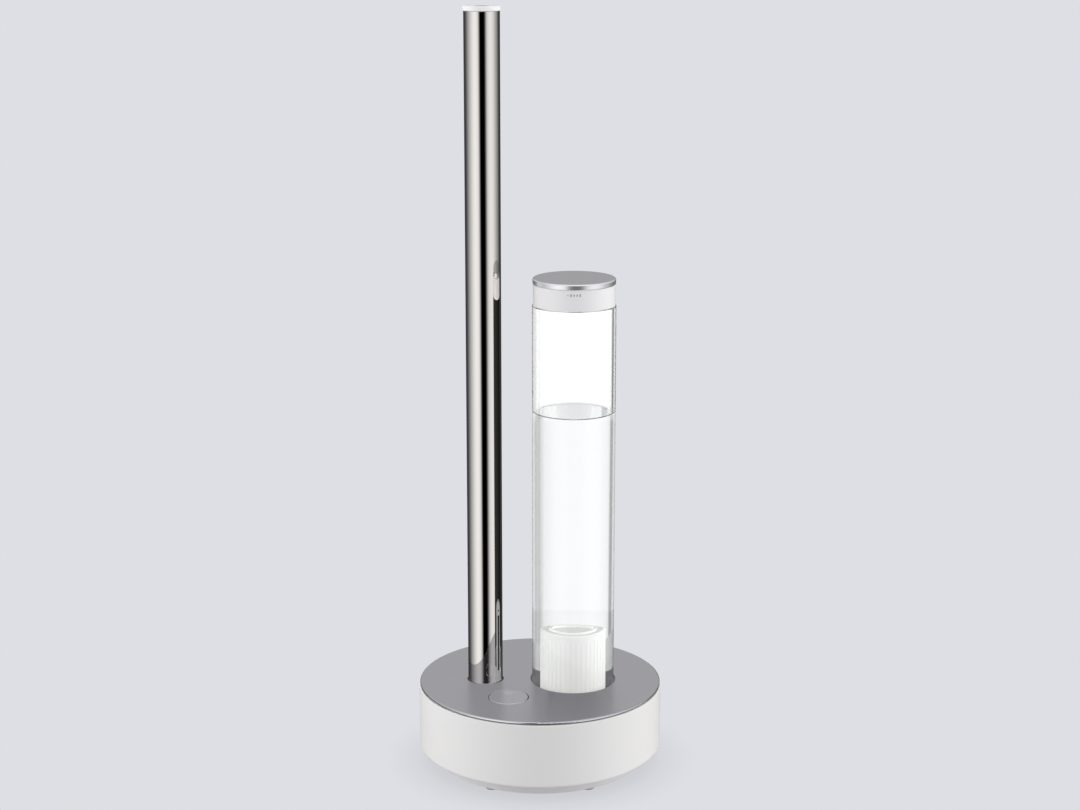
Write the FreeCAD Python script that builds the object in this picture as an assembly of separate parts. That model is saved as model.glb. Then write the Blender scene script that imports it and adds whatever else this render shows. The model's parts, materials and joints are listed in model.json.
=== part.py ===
"""Tower mist humidifier: a low round base, a tall mist pipe and a tall clear water tank.

Millimetres. +Z is up, the origin is the centre of the base on the surface it stands on, and
-Y is the front, where the power button is. The pipe and the tank stand side by side along X.

From the floor up: rubber pads, a recessed foot ring, a drum shell with a bottom plate, the
electronics, an ultrasonic plate under a water basin, a deck and a metal top disc. The blower
stands at the back behind a pull-out intake cover. It pushes the mist up the pipe to the nozzle.
The tank lifts out of its well, the lid lifts off the tank and the pipe lifts out of its socket.
"""

import FreeCAD, Part
import math
import os

from FreeCAD import Vector

# ---- driving dimensions ------------------------------------------------------------------------
TOTAL_HEIGHT = 835.0        # floor to the top of the nozzle
DRUM_R = 135.0              # outside radius of the base
DRUM_WALL = 3.0
DRUM_BOTTOM_Z = 18.0
DRUM_TOP_Z = 89.4
DISC_R = 134.0              # metal top disc
DISC_TOP_Z = 93.0
DISC_THICK = 2.2

PIPE_X = -61.0              # mist pipe axis
PIPE_R = 19.2
PIPE_WALL = 1.0
TANK_X = 36.8               # water tank axis
TANK_R = 45.4
TANK_WALL = 4.8
TANK_SHOULDER_Z = 518.0     # where the clear wall meets the lid
LID_TOP_Z = 548.0
BUTTON_X = -34.5            # power button axis
BUTTON_Y = -58.8
BUTTON_R = 21.6
BUTTON_TRAVEL = 1.2

GAP = 0.3                   # clearance between faces of two bodies
PLASTIC_WALL = 2.5

# ---- base: levels and radii worked out from the driving dimensions -----------------------------
DRUM_R_IN = DRUM_R - DRUM_WALL
LIP_R = 98.0                # inner edge of the drum's bottom lip
LIP_TOP_Z = DRUM_BOTTOM_Z + PLASTIC_WALL
PLATE_R = DRUM_R_IN - GAP
PLATE_TOP_Z = LIP_TOP_Z + PLASTIC_WALL
FOOT_RING_R = 114.0
FOOT_RING_R_IN = 92.0
FOOT_RING_BOTTOM_Z = 3.0
FOOT_RING_FLOOR = 3.0
FOOT_SCREW_SEAT_Z = 6.5
PAD_R = 6.5
PAD_SEAT = 1.0              # depth of the pad's pocket
PAD_PITCH_R = 104.8
PAD_ANGLES = range(0, 360, 60)
SCREW_PITCH_R = 104.0
SCREW_ANGLES = (30, 150, 270)
DECK_BOTTOM_Z = 87.0
DISC_BOTTOM_Z = DISC_TOP_Z - DISC_THICK
DECK_SCREW_R = 127.6
DECK_SCREW_ANGLES = (45, 135, 225, 315)
DECK_HEAD_SEAT_Z = 88.6
BOARD_Z = PLATE_TOP_Z + 3.5
BOARD_THICK = 1.6
BOARD_TOP_Z = BOARD_Z + BOARD_THICK
SCREW_HOLE_R = 1.7
SCREW_PILOT_R = 1.5
SCREW_SHANK_R = 1.4

# ---- water basin -------------------------------------------------------------------------------
WELL_R = 49.5               # inside radius round the tank
CHAMBER_R = 30.5            # inside radius of the mist chamber under the pipe
CHANNEL_HALF = 17.5         # half the inside width of the channel that joins them
BASIN_Z = 40.0
BASIN_FLOOR_Z = BASIN_Z + PLASTIC_WALL
BASIN_RIM_Z = 86.0
LEDGE_R = 38.0
LEDGE_Z = 52.0
LEDGE_TOP_Z = 56.0
SEAT_TOP_Z = 58.0
BASIN_LEGS = ((TANK_X, 40), (TANK_X, -40), (75, 0), (PIPE_X, 28.4), (PIPE_X, -28.4))
CLAMP_SCREW_PITCH_R = 16.0
CLAMP_SCREW_ANGLES = (90, 210, 330)
CLAMP_TOP_Z = 37.2
MESH_Z = 38.0               # underside of the ultrasonic plate
MESH_THICK = 1.2
MESH_R = 10.0

# ---- blower, intake and duct, all at the back --------------------------------------------------
FAN_Z = 53.0                # blower axis height; the axis runs along Y
FAN_HALF = 28.0
FAN_FRONT_Y = 93.0
FAN_COVER_Y = 109.0
FAN_CAVITY_R = 24.0
FAN_WALL = 2.0
BLADE_COUNT = 24
BLADE_R = 22.5
DUCT_BOTTOM_Z, DUCT_TOP_Z = 60.0, 77.0
DUCT_WALL = 1.5
DUCT_HALF = 7.0
DUCT_BEND = 16.0
INTAKE_HALF = 33.0          # half width of the opening in the drum
INTAKE_BOTTOM_Z, INTAKE_TOP_Z = 32.0, 72.0
FILTER_FRAME_HALF = 31.0
FILTER_FRAME_Y = 117.0
LOUVRE_COUNT = 8
LOUVRE_PITCH = 4.3
LOUVRE_HEIGHT = 2.0
INLET_ANGLE = -38.0         # power inlet, turned about Z from the back
INLET_Z = 36.0

# ---- pipe and nozzle ---------------------------------------------------------------------------
PIPE_TOP_Z = TOTAL_HEIGHT - 5.0
PIPE_BOTTOM_Z = 62.0
PIPE_FOOT_Z = 56.0
LINER_R, LINER_R_IN = 18.1, 16.5
SOCKET_R = PIPE_R + 0.6
SOCKET_WALL = 2.6
NOZZLE_R = 20.2
NOZZLE_PLUG_R, NOZZLE_BORE_R = 15.9, 13.0
NOZZLE_PLUG_Z = PIPE_TOP_Z - 13.0
NOZZLE_ROOF = 7.0
MOUTH_R = 10.5
MOUTH_TILT = 18.0

# ---- tank --------------------------------------------------------------------------------------
TANK_R_IN = TANK_R - TANK_WALL
TANK_BASE_Z = SEAT_TOP_Z + GAP
TUBE_BOTTOM_Z = 66.0
TANK_FLOOR_Z = 72.0
NECK_R = 42.4
NECK_TOP_Z = 535.0
VALVE_HOLE_R = 6.0
CARTRIDGE_R = 26.0
CARTRIDGE_WALL = 1.8
CARTRIDGE_SHELF_Z = 88.0
CARTRIDGE_SHOULDER_Z = 146.0
RIB_COUNT = 36
RIB_PROUD = 0.6
VALVE_HEAD_Z = 76.0
VALVE_HEAD_R = 9.0
LIFTER_TOP_Z = 53.7
LID_R = 44.9
SKIRT_R = 44.4
SKIRT_R_IN = 42.8
LID_DISC_Z = 541.2
LID_ROOF_Z = 537.0

# ---- button and level sensor -------------------------------------------------------------------
BUTTON_TOP_Z = DISC_TOP_Z + 0.2
BUTTON_CAP_Z = DECK_BOTTOM_Z + BUTTON_TRAVEL + 0.8
BUTTON_GUIDE_Z = 76.0
SWITCH_BOARD_Z = 68.0
SWITCH_POSTS = ((BUTTON_X - 26.5, BUTTON_Y), (BUTTON_X + 26.5, BUTTON_Y))
SWITCH_TOP_Z = SWITCH_BOARD_Z + 5.1
SYMBOL_Y = BUTTON_Y + 11.8
SYMBOL_R = 3.5
SYMBOL_LINE = 0.7
SYMBOL_DEPTH = 0.4
FLOAT_X = -22.2
FLOAT_R = 8.0


# ---- helpers -----------------------------------------------------------------------------------
def cylinder(radius, z0, z1, x=0.0, y=0.0):
    return Part.makeCylinder(radius, z1 - z0, Vector(x, y, z0))


def ring(r_out, r_in, z0, z1, x=0.0, y=0.0):
    return cylinder(r_out, z0, z1, x, y).cut(cylinder(r_in, z0 - 1, z1 + 1, x, y))


def block(x0, x1, y0, y1, z0, z1):
    return Part.makeBox(x1 - x0, y1 - y0, z1 - z0, Vector(x0, y0, z0))


def along_y(radius, y0, y1, x=0.0, z=FAN_Z):
    return Part.makeCylinder(radius, y1 - y0, Vector(x, y0, z), Vector(0, 1, 0))


def polar(radius, degrees):
    return (radius * math.cos(math.radians(degrees)), radius * math.sin(math.radians(degrees)))


def turned(outline, x=0.0, y=0.0):
    """A solid of revolution about the vertical line at x, y, from a closed (radius, z) outline."""
    points = [Vector(x + r, y, z) for r, z in outline]
    face = Part.Face(Part.makePolygon(points + points[:1]))
    return face.revolve(Vector(x, y, 0), Vector(0, 0, 1), 360)


def rim(shape, radius, z):
    """The circular edges of that radius at that height."""
    return [
        e for e in shape.Edges
        if isinstance(e.Curve, Part.Circle)
        and abs(e.Curve.Radius - radius) < 1e-3
        and abs(e.Curve.Center.z - z) < 1e-3
    ]


def rounded_block(x0, x1, y0, y1, z0, z1, radius):
    """A block whose four edges along Y are rounded."""
    shape = block(x0, x1, y0, y1, z0, z1)
    edges = [e for e in shape.Edges if abs(e.tangentAt(e.FirstParameter).y) > 0.99]
    return shape.makeFillet(radius, edges)


def coil_spring(radius, wire_r, z0, z1, turns, x=0.0, y=0.0):
    height = z1 - z0 - 2 * wire_r
    helix = Part.makeHelix(height / turns, height, radius)
    section = Part.Wire([Part.makeCircle(wire_r, Vector(radius, 0, 0), Vector(0, 1, 0))])
    spring = Part.Wire(helix).makePipeShell([section], True, True)
    spring.translate(Vector(x, y, z0 + wire_r))
    return spring


def wire_lead(points, radius):
    """A round lead along straight runs joined by tangent arcs."""
    points = [Vector(*p) for p in points]
    edges = []
    start = points[0]
    for before, corner, after in zip(points, points[1:], points[2:]):
        back = (before - corner).normalize()
        ahead = (after - corner).normalize()
        half_turn = (math.pi - back.getAngle(ahead)) / 2
        setback = 0.45 * min((before - corner).Length, (after - corner).Length)
        bend = setback / math.tan(half_turn)
        entry = corner + back * setback
        leave = corner + ahead * setback
        inward = (back + ahead).normalize()
        middle = corner + inward * (bend / math.cos(half_turn) - bend)
        edges.append(Part.LineSegment(start, entry).toShape())
        edges.append(Part.Arc(entry, middle, leave).toShape())
        start = leave
    edges.append(Part.LineSegment(start, points[-1]).toShape())
    section = Part.Wire([Part.makeCircle(radius, points[0], points[1] - points[0])])
    return Part.Wire(edges).makePipeShell([section], True, False)


def fused(shapes):
    return shapes[0].multiFuse(list(shapes[1:])).removeSplitter()


# ---- feet and shell ----------------------------------------------------------------------------
def foot_pads():
    pads = []
    for angle in PAD_ANGLES:
        pad = cylinder(PAD_R, 0, FOOT_RING_BOTTOM_Z + PAD_SEAT, *polar(PAD_PITCH_R, angle))
        pads.append(pad.makeFillet(0.8, rim(pad, PAD_R, 0)))
    return Part.makeCompound(pads)


def foot_ring():
    """The recessed ring under the drum, with pockets for the pads and bosses for the screws."""
    top = FOOT_RING_BOTTOM_Z + FOOT_RING_FLOOR
    body = turned([
        (FOOT_RING_R_IN, FOOT_RING_BOTTOM_Z), (FOOT_RING_R, FOOT_RING_BOTTOM_Z),
        (FOOT_RING_R, DRUM_BOTTOM_Z), (FOOT_RING_R - PLASTIC_WALL, DRUM_BOTTOM_Z),
        (FOOT_RING_R - PLASTIC_WALL, top), (FOOT_RING_R_IN, top),
    ])
    body = body.makeFillet(1.2, rim(body, FOOT_RING_R, FOOT_RING_BOTTOM_Z))
    for angle in SCREW_ANGLES:
        body = body.fuse(cylinder(4.5, top, DRUM_BOTTOM_Z, *polar(SCREW_PITCH_R, angle)))
    for angle in SCREW_ANGLES:
        centre = polar(SCREW_PITCH_R, angle)
        body = body.cut(cylinder(SCREW_HOLE_R, 0, DRUM_BOTTOM_Z + 1, *centre))
        body = body.cut(cylinder(3.4, 0, FOOT_SCREW_SEAT_Z, *centre))
    for angle in PAD_ANGLES:
        pocket = cylinder(PAD_R + 0.1, 0, FOOT_RING_BOTTOM_Z + PAD_SEAT, *polar(PAD_PITCH_R, angle))
        body = body.cut(pocket)
    return body


def drum_shell():
    """The white drum: wall, bottom lip, ledge for the deck, and the openings at the back."""
    ledge_r = 128.5
    body = turned([
        (LIP_R, DRUM_BOTTOM_Z), (DRUM_R, DRUM_BOTTOM_Z), (DRUM_R, DRUM_TOP_Z),
        (DRUM_R_IN, DRUM_TOP_Z), (DRUM_R_IN, DECK_BOTTOM_Z), (ledge_r, DECK_BOTTOM_Z),
        (ledge_r, DECK_BOTTOM_Z - 3), (DRUM_R_IN, DECK_BOTTOM_Z - 6.5),
        (DRUM_R_IN, LIP_TOP_Z), (LIP_R, LIP_TOP_Z),
    ])
    body = body.makeFillet(4.0, rim(body, DRUM_R, DRUM_BOTTOM_Z))
    body = body.makeFillet(1.0, rim(body, DRUM_R, DRUM_TOP_Z))
    for angle in DECK_SCREW_ANGLES:
        centre = polar(DECK_SCREW_R, angle)
        body = body.fuse(cylinder(4.2, 70, DECK_BOTTOM_Z, *centre))
        body = body.cut(cylinder(SCREW_PILOT_R, 74, DECK_BOTTOM_Z + 1, *centre))
    for angle in SCREW_ANGLES:
        hole = cylinder(SCREW_HOLE_R, DRUM_BOTTOM_Z - 1, LIP_TOP_Z + 1, *polar(SCREW_PITCH_R, angle))
        body = body.cut(hole)
    body = body.cut(rounded_block(
        -INTAKE_HALF, INTAKE_HALF, 100, DRUM_R + 5, INTAKE_BOTTOM_Z, INTAKE_TOP_Z, 3.0))
    inlet_hole = along_y(5.4, 120, DRUM_R + 5, 0, INLET_Z)
    inlet_hole.rotate(Vector(0, 0, 0), Vector(0, 0, 1), INLET_ANGLE)
    return body.cut(inlet_hole)


def bottom_plate():
    body = cylinder(PLATE_R, LIP_TOP_Z, PLATE_TOP_Z)
    for angle in SCREW_ANGLES:
        body = body.fuse(cylinder(4.0, PLATE_TOP_Z, PLATE_TOP_Z + 10, *polar(SCREW_PITCH_R, angle)))
    for x, y in board_holes():
        body = body.fuse(cylinder(3.0, PLATE_TOP_Z, BOARD_Z, x, y))
        body = body.cut(cylinder(1.2, PLATE_TOP_Z + 0.5, BOARD_Z + 1, x, y))
    for angle in SCREW_ANGLES:
        pilot = cylinder(SCREW_PILOT_R, LIP_TOP_Z - 1, PLATE_TOP_Z + 8, *polar(SCREW_PITCH_R, angle))
        body = body.cut(pilot)
    for side in (-1, 1):
        body = body.fuse(block(side * 20 - 5, side * 20 + 5, 95, 107, PLATE_TOP_Z, FAN_Z - FAN_HALF))
    return body


def screw(head_r, head_z0, head_z1, tip_z, x, y, shank_r=SCREW_SHANK_R):
    """A cross-headed screw. The tip may be above or below the head."""
    up = tip_z > head_z1
    shank = cylinder(shank_r, head_z1, tip_z, x, y) if up else cylinder(shank_r, tip_z, head_z0, x, y)
    body = cylinder(head_r, head_z0, head_z1, x, y).fuse(shank)
    depth = 0.5 * (head_z1 - head_z0)
    z0, z1 = (head_z0 - 1, head_z0 + depth) if up else (head_z1 - depth, head_z1 + 1)
    arm, half = 0.65 * head_r, 0.14 * head_r
    body = body.cut(block(x - arm, x + arm, y - half, y + half, z0, z1))
    return body.cut(block(x - half, x + half, y - arm, y + arm, z0, z1))


def housing_screws():
    head_z = FOOT_SCREW_SEAT_Z - 2.2
    return Part.makeCompound([
        screw(3.1, head_z, FOOT_SCREW_SEAT_Z, PLATE_TOP_Z + 7, *polar(SCREW_PITCH_R, a))
        for a in SCREW_ANGLES
    ])


def deck_screws():
    return Part.makeCompound([
        screw(2.9, DECK_HEAD_SEAT_Z, DISC_BOTTOM_Z - 0.2, 76, *polar(DECK_SCREW_R, a))
        for a in DECK_SCREW_ANGLES
    ])


# ---- deck and top disc -------------------------------------------------------------------------
def top_deck():
    """The plastic deck under the disc, with the tank's collar and the button's guide."""
    body = cylinder(PLATE_R, DECK_BOTTOM_Z, DISC_BOTTOM_Z)
    collar_r = TANK_R + 1.2
    body = body.fuse(cylinder(collar_r + 2.5, TUBE_BOTTOM_Z, DECK_BOTTOM_Z, TANK_X))
    body = body.fuse(cylinder(BUTTON_R + 2.4, BUTTON_GUIDE_Z, DECK_BOTTOM_Z, BUTTON_X, BUTTON_Y))
    for x, y in SWITCH_POSTS:
        body = body.fuse(cylinder(3.0, SWITCH_BOARD_Z + BOARD_THICK, DECK_BOTTOM_Z, x, y))
    body = body.cut(cylinder(collar_r, TUBE_BOTTOM_Z - 1, DISC_TOP_Z, TANK_X))
    body = body.cut(cylinder(SOCKET_R + SOCKET_WALL + 0.1, DECK_BOTTOM_Z - 1, DISC_TOP_Z, PIPE_X))
    body = body.cut(cylinder(BUTTON_R - 1.1, BUTTON_GUIDE_Z - 1, DISC_TOP_Z, BUTTON_X, BUTTON_Y))
    body = body.cut(cylinder(BUTTON_R + 0.6, DECK_BOTTOM_Z, DISC_TOP_Z, BUTTON_X, BUTTON_Y))
    for x, y in SWITCH_POSTS:
        body = body.cut(cylinder(1.2, SWITCH_BOARD_Z, SWITCH_BOARD_Z + 9, x, y))
    for angle in DECK_SCREW_ANGLES:
        centre = polar(DECK_SCREW_R, angle)
        body = body.cut(cylinder(SCREW_HOLE_R, DECK_BOTTOM_Z - 1, DISC_TOP_Z, *centre))
        body = body.cut(cylinder(3.2, DECK_HEAD_SEAT_Z, DISC_TOP_Z, *centre))
    return body


def pipe_socket():
    """The sleeve that the pipe stands in, with a flange under the deck and a shelf at its foot."""
    outer_r, flange_r = SOCKET_R + SOCKET_WALL, SOCKET_R + SOCKET_WALL + 3.0
    shelf_r, shelf_z = LINER_R_IN + 0.3, PIPE_FOOT_Z - 0.4
    flange_z = DECK_BOTTOM_Z - 2.2
    return turned([
        (shelf_r, PIPE_FOOT_Z - 3), (outer_r, PIPE_FOOT_Z - 3), (outer_r, flange_z),
        (flange_r, flange_z), (flange_r, DECK_BOTTOM_Z), (outer_r, DECK_BOTTOM_Z),
        (outer_r, DISC_BOTTOM_Z), (SOCKET_R, DISC_BOTTOM_Z), (SOCKET_R, shelf_z), (shelf_r, shelf_z),
    ], PIPE_X)


def top_disc():
    body = cylinder(DISC_R, DISC_BOTTOM_Z, DISC_TOP_Z)
    body = body.makeFillet(1.3, rim(body, DISC_R, DISC_TOP_Z))
    body = body.makeFillet(0.4, rim(body, DISC_R, DISC_BOTTOM_Z))
    for radius, x, y in (
        (TANK_R + 2.0, TANK_X, 0), (PIPE_R + 1.2, PIPE_X, 0), (BUTTON_R + 0.5, BUTTON_X, BUTTON_Y)
    ):
        body = body.cut(cylinder(radius, 0, 200, x, y))
        body = body.makeFillet(0.35, rim(body, radius, DISC_TOP_Z))
    return body


# ---- water basin and ultrasonic plate ----------------------------------------------------------
def basin_block(offset, z0, z1):
    """The basin's outline in plan, grown by offset: tank well, mist chamber and the channel between."""
    half = CHANNEL_HALF + offset
    return fused([
        cylinder(WELL_R + offset, z0, z1, TANK_X),
        cylinder(CHAMBER_R + offset, z0, z1, PIPE_X),
        block(PIPE_X, TANK_X, -half, half, z0, z1),
    ])


def water_basin():
    body = basin_block(PLASTIC_WALL, BASIN_Z, BASIN_RIM_Z).cut(basin_block(0, BASIN_FLOOR_Z, 100))
    ledge = ring(WELL_R + 0.1, LEDGE_R, LEDGE_Z, LEDGE_TOP_Z, TANK_X)
    for angle in (45, 135, 225, 315):
        x, y = polar(LEDGE_R, angle)
        ledge = ledge.cut(cylinder(5.0, LEDGE_Z - 1, LEDGE_TOP_Z + 1, TANK_X + x, y))
    body = body.fuse(ledge)
    for x, y in BASIN_LEGS:
        body = body.fuse(cylinder(4.0, PLATE_TOP_Z, BASIN_Z, x, y))
    for angle in CLAMP_SCREW_ANGLES:
        x, y = polar(CLAMP_SCREW_PITCH_R, angle)
        body = body.fuse(cylinder(3.4, CLAMP_TOP_Z, BASIN_Z, PIPE_X + x, y))
        body = body.cut(cylinder(1.3, CLAMP_TOP_Z - 1, BASIN_Z + 1.5, PIPE_X + x, y))
    body = body.cut(cylinder(MESH_R - 1, BASIN_Z - 1, BASIN_FLOOR_Z + 1, PIPE_X))
    port = block(PIPE_X - DUCT_HALF, PIPE_X + DUCT_HALF, 22, 40, DUCT_BOTTOM_Z, DUCT_TOP_Z)
    return body.cut(port)


def basin_gasket():
    return basin_block(PLASTIC_WALL, BASIN_RIM_Z, DECK_BOTTOM_Z).cut(basin_block(0, BASIN_RIM_Z - 1, 100))


def tank_seat_ring():
    body = ring(46.0, 39.0, LEDGE_TOP_Z, SEAT_TOP_Z, TANK_X)
    return body.makeFillet(0.6, rim(body, 46.0, SEAT_TOP_Z) + rim(body, 39.0, SEAT_TOP_Z))


def valve_lifter():
    """The fixed pin on the basin floor that holds the tank's valve open."""
    pin = cylinder(3.0, BASIN_FLOOR_Z + 2, LIFTER_TOP_Z, TANK_X)
    pin = pin.makeFillet(0.8, rim(pin, 3.0, LIFTER_TOP_Z))
    return cylinder(6.0, BASIN_FLOOR_Z, BASIN_FLOOR_Z + 2, TANK_X).fuse(pin)


def ultrasonic_plate():
    return cylinder(MESH_R, MESH_Z, MESH_Z + MESH_THICK, PIPE_X)


def plate_seal():
    """A grooved silicone ring that holds the ultrasonic plate by its edge."""
    lip_r, groove_r, outer_r = MESH_R - 1.5, MESH_R + 0.1, MESH_R + 2
    top = MESH_Z + MESH_THICK
    return turned([
        (lip_r, CLAMP_TOP_Z), (outer_r, CLAMP_TOP_Z), (outer_r, BASIN_Z), (lip_r, BASIN_Z),
        (lip_r, top), (groove_r, top), (groove_r, MESH_Z), (lip_r, MESH_Z),
    ], PIPE_X)


def plate_clamp():
    body = ring(19.0, MESH_R - 2, CLAMP_TOP_Z - 1.5, CLAMP_TOP_Z, PIPE_X)
    for angle in CLAMP_SCREW_ANGLES:
        x, y = polar(CLAMP_SCREW_PITCH_R, angle)
        body = body.cut(cylinder(1.3, 30, 40, PIPE_X + x, y))
    return body


def clamp_screws():
    head_z = CLAMP_TOP_Z - 1.5
    screws = []
    for angle in CLAMP_SCREW_ANGLES:
        x, y = polar(CLAMP_SCREW_PITCH_R, angle)
        screws.append(screw(2.2, head_z - 1.4, head_z, BASIN_Z + 1.2, PIPE_X + x, y, 1.15))
    return Part.makeCompound(screws)


# ---- electronics -------------------------------------------------------------------------------
DRIVER_BOARD = (-122.0, -38.0, -24.0, 24.0)
POWER_BOARD = (92.0, 122.0, -34.0, 34.0)


def board_holes():
    holes = []
    for x0, x1, y0, y1 in (DRIVER_BOARD, POWER_BOARD):
        holes += [(x, y) for x in (x0 + 5, x1 - 5) for y in (y0 + 5, y1 - 5)]
    return holes


def circuit_board(outline):
    x0, x1, y0, y1 = outline
    body = block(x0, x1, y0, y1, BOARD_Z, BOARD_TOP_Z)
    corners = [e for e in body.Edges if abs(e.tangentAt(e.FirstParameter).z) > 0.99]
    body = body.makeFillet(2.0, corners)
    for x in (x0 + 5, x1 - 5):
        for y in (y0 + 5, y1 - 5):
            body = body.cut(cylinder(1.3, BOARD_Z - 1, BOARD_TOP_Z + 1, x, y))
    return body


def driver_board():
    return circuit_board(DRIVER_BOARD)


def power_board():
    return circuit_board(POWER_BOARD)


def driver_components():
    """Oscillator parts on the driver board: capacitor, coil, two chips and the lead connectors."""
    z = BOARD_TOP_Z
    coil = ring(6.0, 2.5, z, z + 6, -86, -14)
    return Part.makeCompound([
        cylinder(5.0, z, z + 10, -88, 13),
        coil.makeFillet(0.8, rim(coil, 6.0, z + 6)),
        block(-76, -64, -7, 5, z, z + 2.2),
        block(-60, -54, 8, 14, z, z + 1.6),
        block(-79, -71, 14, 22, z, z + 6),
        block(-50, -42, -15, -7, z, z + 6),
    ])


def power_components():
    """Supply parts on the power board: a wound choke, two capacitors and the lead connectors."""
    z = BOARD_TOP_Z
    choke = cylinder(9.5, z, z + 12, 107, 0)
    choke = choke.makeFillet(1.5, rim(choke, 9.5, z + 12))
    capacitors = []
    for x in (100.5, 113):
        can = cylinder(5.2, z, z + 21, x, -22)
        capacitors.append(can.makeFillet(0.8, rim(can, 5.2, z + 21)))
    return Part.makeCompound(
        [choke] + capacitors + [block(98, 110, 19, 27, z, z + 9), block(92.5, 95, -18, -8, z, z + 7)]
    )


def heat_sink():
    x_plate, depth, height, fin = -101.0, 17.0, 34.0, 1.6
    z0, z1 = BOARD_TOP_Z, BOARD_TOP_Z + height
    fins = [
        block(x_plate - depth, x_plate, y, y + fin, z0 + 3, z1) for y in (-17, -10.3, -3.6, 3.1, 9.8)
    ]
    return fused([block(x_plate, x_plate + 3, -19, 14, z0, z1)] + fins)


def board_screws():
    screws = [
        screw(2.3, BOARD_TOP_Z, BOARD_TOP_Z + 1.5, PLATE_TOP_Z + 0.8, x, y, 1.1)
        for x, y in board_holes()
    ]
    screws += [
        screw(2.3, SWITCH_BOARD_Z - 1.5, SWITCH_BOARD_Z, SWITCH_BOARD_Z + 8, x, y, 1.1)
        for x, y in SWITCH_POSTS
    ]
    return Part.makeCompound(screws)


def power_inlet():
    """A round low-voltage socket with a centre pin, set radially in the drum wall."""
    face_y = DRUM_R - 0.6
    body = along_y(5.2, 116, face_y, 0, INLET_Z).fuse(block(-5, 5, 108, 117, INLET_Z - 5, INLET_Z + 5))
    body = body.makeFillet(0.4, [e for e in rim(body, 5.2, INLET_Z) if e.CenterOfMass.y > face_y - 1e-3])
    body = body.cut(along_y(2.9, face_y - 10, face_y + 1, 0, INLET_Z))
    body = body.fuse(along_y(1.0, face_y - 11, face_y - 2, 0, INLET_Z))
    body.rotate(Vector(0, 0, 0), Vector(0, 0, 1), INLET_ANGLE)
    return body


def inlet_lead():
    bearing = 90 + INLET_ANGLE
    return wire_lead([(*polar(107.6, bearing), INLET_Z), (*polar(96, bearing), INLET_Z),
                      (84, 64, 38), (104, 46, 38), (104, 27.7, 33)], 1.5)


def fan_lead():
    return wire_lead([(-28.4, 99, 31), (-44, 99, 31), (-66, 76, 31), (-75, 50, 31), (-75, 22.3, 31)], 1.2)


def board_lead():
    return wire_lead([(92.1, -13, 31.5), (72, -13, 31.5), (34, -24, 31.5), (-6, -20, 31.5),
                      (-28, -12, 31.5), (-41.7, -12, 31.5)], 1.4)


# ---- blower, duct and intake -------------------------------------------------------------------
def fan_housing():
    inside_y = FAN_FRONT_Y + FAN_WALL
    body = rounded_block(-FAN_HALF, FAN_HALF, FAN_FRONT_Y, FAN_COVER_Y,
                         FAN_Z - FAN_HALF, FAN_Z + FAN_HALF, 5.0)
    body = body.cut(along_y(FAN_CAVITY_R, inside_y, FAN_COVER_Y + 1))
    return body.cut(block(-FAN_HALF - 1, 0, inside_y, FAN_COVER_Y + 1, DUCT_BOTTOM_Z, DUCT_TOP_Z))


def fan_cover():
    body = rounded_block(-FAN_HALF, FAN_HALF, FAN_COVER_Y, FAN_COVER_Y + FAN_WALL,
                         FAN_Z - FAN_HALF, FAN_Z + FAN_HALF, 5.0)
    return body.cut(along_y(17.0, FAN_COVER_Y - 1, FAN_COVER_Y + FAN_WALL + 1))


def fan_motor():
    """The stator, with the bearing that carries the rotor's shaft."""
    y0 = FAN_FRONT_Y + FAN_WALL
    return along_y(8.0, y0, y0 + 8).cut(along_y(1.56, y0 + 2, y0 + 9))


def fan_impeller():
    y0, y1 = FAN_FRONT_Y + FAN_WALL + 1.5, FAN_COVER_Y - 3
    back = along_y(BLADE_R, y0, y0 + 1.2)
    hub = along_y(11.0, y0, y1)
    blade = block(15.5, BLADE_R, y0 + 1, y1 + 1, FAN_Z - 0.45, FAN_Z + 0.45)
    blade.rotate(Vector(19, 0, FAN_Z), Vector(0, 1, 0), -28)
    blades = []
    for index in range(BLADE_COUNT):
        copy = blade.copy()
        copy.rotate(Vector(0, 0, FAN_Z), Vector(0, 1, 0), index * 360.0 / BLADE_COUNT)
        blades.append(copy)
    end_ring = along_y(BLADE_R, y1, y1 + 1).cut(along_y(BLADE_R - 1.3, y1 - 1, y1 + 2))
    body = fused([back, hub, end_ring] + blades)
    body = body.common(along_y(BLADE_R, y0, y1 + 1))
    body = body.cut(along_y(9.4, y0 - 1, y1 - 1.5))
    return body.cut(along_y(1.5, y0, y1 - 0.8))


def fan_shaft():
    y0 = FAN_FRONT_Y + FAN_WALL
    return along_y(1.5, y0 + 2.5, FAN_COVER_Y - 3.8)


def duct_block(half, z0, z1, x_start, y_end):
    """The duct in plan: out of the blower along -X, round a quarter bend, then along -Y."""
    y_fan = (FAN_FRONT_Y + FAN_WALL + FAN_COVER_Y) / 2
    bend_x, bend_y = PIPE_X + DUCT_BEND, y_fan - DUCT_BEND
    straight_x = block(bend_x, x_start, y_fan - half, y_fan + half, z0, z1)
    straight_y = block(PIPE_X - half, PIPE_X + half, y_end, bend_y, z0, z1)
    quarter = ring(DUCT_BEND + half, DUCT_BEND - half, z0, z1, bend_x, bend_y)
    corner = block(bend_x - 40, bend_x, bend_y, bend_y + 40, z0, z1)
    return fused([straight_x, straight_y, quarter.common(corner)])


def fan_duct():
    outside = duct_block(DUCT_HALF + DUCT_WALL, DUCT_BOTTOM_Z - DUCT_WALL, DUCT_TOP_Z + DUCT_WALL,
                         -FAN_HALF, 20)
    inside = duct_block(DUCT_HALF, DUCT_BOTTOM_Z, DUCT_TOP_Z, -FAN_HALF + 1, 10)
    chamber = cylinder(CHAMBER_R + PLASTIC_WALL + 0.2, 0, 100, PIPE_X)
    return outside.cut(inside).cut(chamber)


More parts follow.
